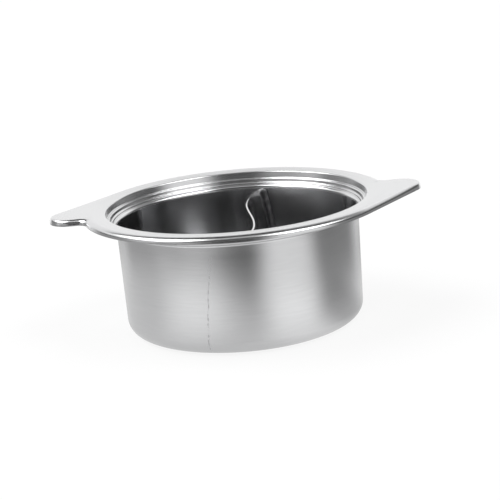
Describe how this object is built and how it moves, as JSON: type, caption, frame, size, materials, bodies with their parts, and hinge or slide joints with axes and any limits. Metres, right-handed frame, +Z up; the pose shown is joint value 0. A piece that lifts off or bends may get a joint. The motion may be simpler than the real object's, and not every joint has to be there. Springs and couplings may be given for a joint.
{
  "type": "divided hot pot",
  "caption": "Shallow round steel hot pot with a stepped lid seat, a broad flat flange drawn out into swept ears, and an S-shaped upright divider that halves the inside.",
  "frame": {"origin": "middle of the flat base, on the surface the pot stands on", "axes": "+Z up out of the pot, +X along the two ears, +Y towards the rear end of the divider, away from the picture's viewer"},
  "size_m": [0.235, 0.1924, 0.0787],
  "materials": {
    "shell_steel": "fine circular brushing, satin",
    "divider_steel": "fine lengthwise brushing, satin, bright trimmed top edge",
    "weld_bead": "dull grey, as welded and wire-brushed"
  },
  "bodies": {
    "root": {"pot_shell": "shell_steel", "divider": "divider_steel", "rear_weld_left": "weld_bead", "rear_weld_right": "weld_bead", "front_weld_left": "weld_bead", "front_weld_right": "weld_bead", "floor_weld_left": "weld_bead", "floor_weld_right": "weld_bead"}
  },
  "joints": []
}
